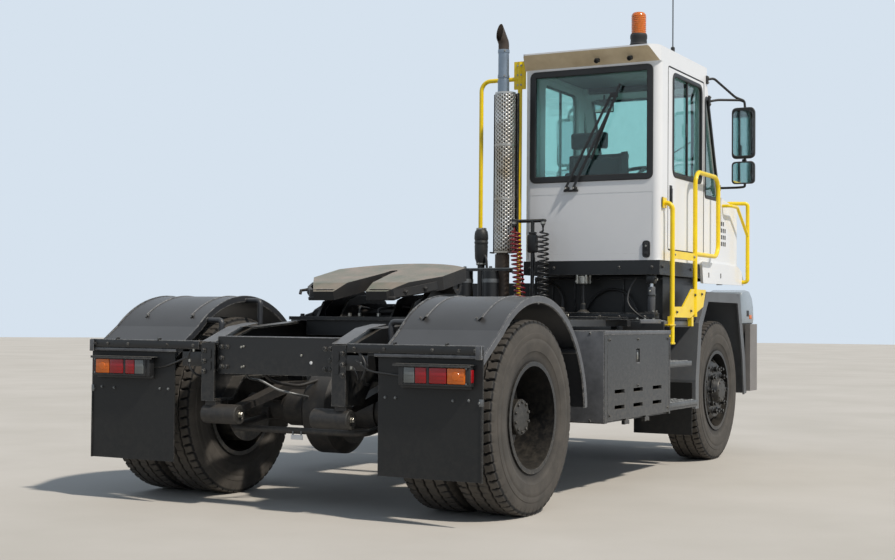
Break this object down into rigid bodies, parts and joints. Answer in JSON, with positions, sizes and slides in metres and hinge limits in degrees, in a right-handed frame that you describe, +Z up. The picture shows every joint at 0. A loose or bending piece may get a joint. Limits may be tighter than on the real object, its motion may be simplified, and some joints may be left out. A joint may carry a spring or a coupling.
{
  "type": "terminal tractor",
  "caption": "Yard tractor with an offset tilting cab, a lifting coupling plate, dual rear wheels, steered front wheels and yellow handrails.",
  "frame": {"origin": "on the ground, under the middle of the whole machine's bounding box", "axes": "+X forward along the frame, +Y to the driver's left, +Z up"},
  "size_m": [5.206, 2.746, 3.45],
  "materials": {
    "frame_paint": "satin",
    "axle_black": "matte",
    "cab_white": "gloss",
    "rail_yellow": "gloss",
    "black_plastic": "matte",
    "flap_rubber": "matte",
    "tyre_rubber": "matte",
    "rim_black": "satin",
    "plate_steel": "greasy",
    "window_glass": "clear",
    "beacon_orange": "gloss",
    "lamp_plastic": "gloss",
    "stainless": "brushed",
    "seat_fabric": "matte",
    "hose_red": "satin",
    "hose_black": "satin",
    "rod_chrome": "polished"
  },
  "bodies": {
    "chassis": {"frame_rails": "frame_paint", "crossmembers": "frame_paint", "rear_axle": "axle_black", "front_axle": "axle_black", "leaf_springs": "axle_black", "engine_block": "axle_black", "engine_cover": "cab_white", "rear_mudguards": "black_plastic", "mud_flaps": "flap_rubber", "lamps": "lamp_plastic", "bumper": "frame_paint", "battery_box": "frame_paint", "fuel_tank": "frame_paint", "rear_deck": "frame_paint", "side_steps": "frame_paint", "step_rails": "rail_yellow", "front_fenders": "black_plastic", "exhaust_stack": "stainless", "guard_hoop": "rail_yellow", "intake_sleeve": "black_plastic", "air_tanks": "frame_paint", "hose_gantry": "frame_paint", "red_hose": "hose_red", "black_hose": "hose_black", "cab_mounts": "frame_paint"},
    "cab": {"cab_floor": "cab_white", "cab_rear_wall": "cab_white", "cab_sides": "cab_white", "cab_nose": "cab_white", "cab_roof": "cab_white", "cab_skirt": "cab_white", "cab_glass": "window_glass", "right_door": "cab_white", "seat": "seat_fabric", "dashboard": "black_plastic", "mirrors": "black_plastic", "beacon": "beacon_orange", "antenna": "black_plastic", "front_handrail": "rail_yellow"},
    "cab_left_door": {"left_door": "cab_white"},
    "locker_door": {"battery_box_door": "frame_paint"},
    "knuckle_l": {"knuckle_left": "axle_black"},
    "knuckle_r": {"knuckle_right": "axle_black"},
    "track_rod": {"tie_rod": "axle_black"},
    "front_left_wheel": {"front_left_tyre": "tyre_rubber", "front_left_rim": "rim_black"},
    "front_right_wheel": {"front_right_tyre": "tyre_rubber", "front_right_rim": "rim_black"},
    "rear_left_wheels": {"rear_left_tyres": "tyre_rubber", "rear_left_rims": "rim_black"},
    "rear_right_wheels": {"rear_right_tyres": "tyre_rubber", "rear_right_rims": "rim_black"},
    "boom": {"lift_boom": "frame_paint"},
    "coupler": {"fifth_wheel": "plate_steel"},
    "lift_cylinder_barrels": {"lift_barrels": "frame_paint"},
    "lift_cylinder_rods": {"lift_rods": "rod_chrome"},
    "tilt_cylinder_barrel": {"tilt_barrel": "frame_paint"},
    "tilt_cylinder_rod": {"tilt_rod": "rod_chrome"}
  },
  "joints": [
    {"name": "steer_left", "type": "hinge", "parent": "chassis", "child": "knuckle_l", "pos_m": [1.67, 0.997, 0.521], "axis": [0, 0, 1], "range_deg": [-38, 38]},
    {"name": "steer_right", "type": "hinge", "parent": "chassis", "child": "knuckle_r", "pos_m": [1.67, -0.763, 0.521], "axis": [0, 0, 1], "range_deg": [-38, 38]},
    {"name": "track_rod_pivot", "type": "hinge", "parent": "knuckle_l", "child": "track_rod", "pos_m": [1.52, 0.997, 0.39], "axis": [0, 0, 1], "range_deg": [-38, 38]},
    {"name": "front_left_spin", "type": "hinge", "parent": "knuckle_l", "child": "front_left_wheel", "pos_m": [1.67, 1.109, 0.521], "axis": [0, 1, 0], "continuous": true},
    {"name": "front_right_spin", "type": "hinge", "parent": "knuckle_r", "child": "front_right_wheel", "pos_m": [1.67, -0.875, 0.521], "axis": [0, 1, 0], "continuous": true},
    {"name": "rear_left_spin", "type": "hinge", "parent": "chassis", "child": "rear_left_wheels", "pos_m": [-1.897, 1.0685, 0.521], "axis": [0, 1, 0], "continuous": true},
    {"name": "rear_right_spin", "type": "hinge", "parent": "chassis", "child": "rear_right_wheels", "pos_m": [-1.897, -0.8345, 0.521], "axis": [0, 1, 0], "continuous": true},
    {"name": "lift_pivot", "type": "hinge", "parent": "chassis", "child": "boom", "pos_m": [-0.277, 0.117, 0.96], "axis": [0, 1, 0], "range_deg": [0, 24]},
    {"name": "lift_barrel_pivot", "type": "hinge", "parent": "chassis", "child": "lift_cylinder_barrels", "pos_m": [-0.945, 0.117, 0.53], "axis": [0, 1, 0], "range_deg": [0, 14.4]},
    {"name": "lift_rod_slide", "type": "slide", "parent": "lift_cylinder_barrels", "child": "lift_cylinder_rods", "axis": [-0.3601, 0, 0.9329], "range_m": [0, 0.317]},
    {"name": "coupler_pitch", "type": "hinge", "parent": "boom", "child": "coupler", "pos_m": [-1.258, 0.117, 1.24], "axis": [0, 1, 0], "range_deg": [0, 27]},
    {"name": "cab_tilt", "type": "hinge", "parent": "chassis", "child": "cab", "pos_m": [2.073, -0.5705, 1.36], "axis": [0, 1, 0], "range_deg": [0, 45]},
    {"name": "tilt_barrel_pivot", "type": "hinge", "parent": "chassis", "child": "tilt_cylinder_barrel", "pos_m": [1.83, -0.423, 0.95], "axis": [0, 1, 0], "range_deg": [0, 18.9]},
    {"name": "tilt_rod_slide", "type": "slide", "parent": "tilt_cylinder_barrel", "child": "tilt_cylinder_rod", "axis": [-0.3964, 0, 0.9181], "range_m": [0, 0.271]},
    {"name": "left_door_hinge", "type": "hinge", "parent": "cab", "child": "cab_left_door", "pos_m": [1.143, -0.048, 2.13], "axis": [0, 0, -1], "range_deg": [0, 75]},
    {"name": "locker_door_hinge", "type": "hinge", "parent": "chassis", "child": "locker_door", "pos_m": [-0.432, -1.143, 0.419], "axis": [1, 0, 0], "range_deg": [0, 90]}
  ],
  "couplings": [
    {"joint": "steer_right", "follows": "steer_left", "ratio": 1},
    {"joint": "track_rod_pivot", "follows": "steer_left", "ratio": -1},
    {"joint": "lift_barrel_pivot", "follows": "lift_pivot", "ratio": 0.596},
    {"joint": "lift_rod_slide", "follows": "lift_pivot", "m_per_rad": 0.7547},
    {"joint": "tilt_barrel_pivot", "follows": "cab_tilt", "ratio": 0.418},
    {"joint": "tilt_rod_slide", "follows": "cab_tilt", "m_per_rad": 0.344}
  ]
}
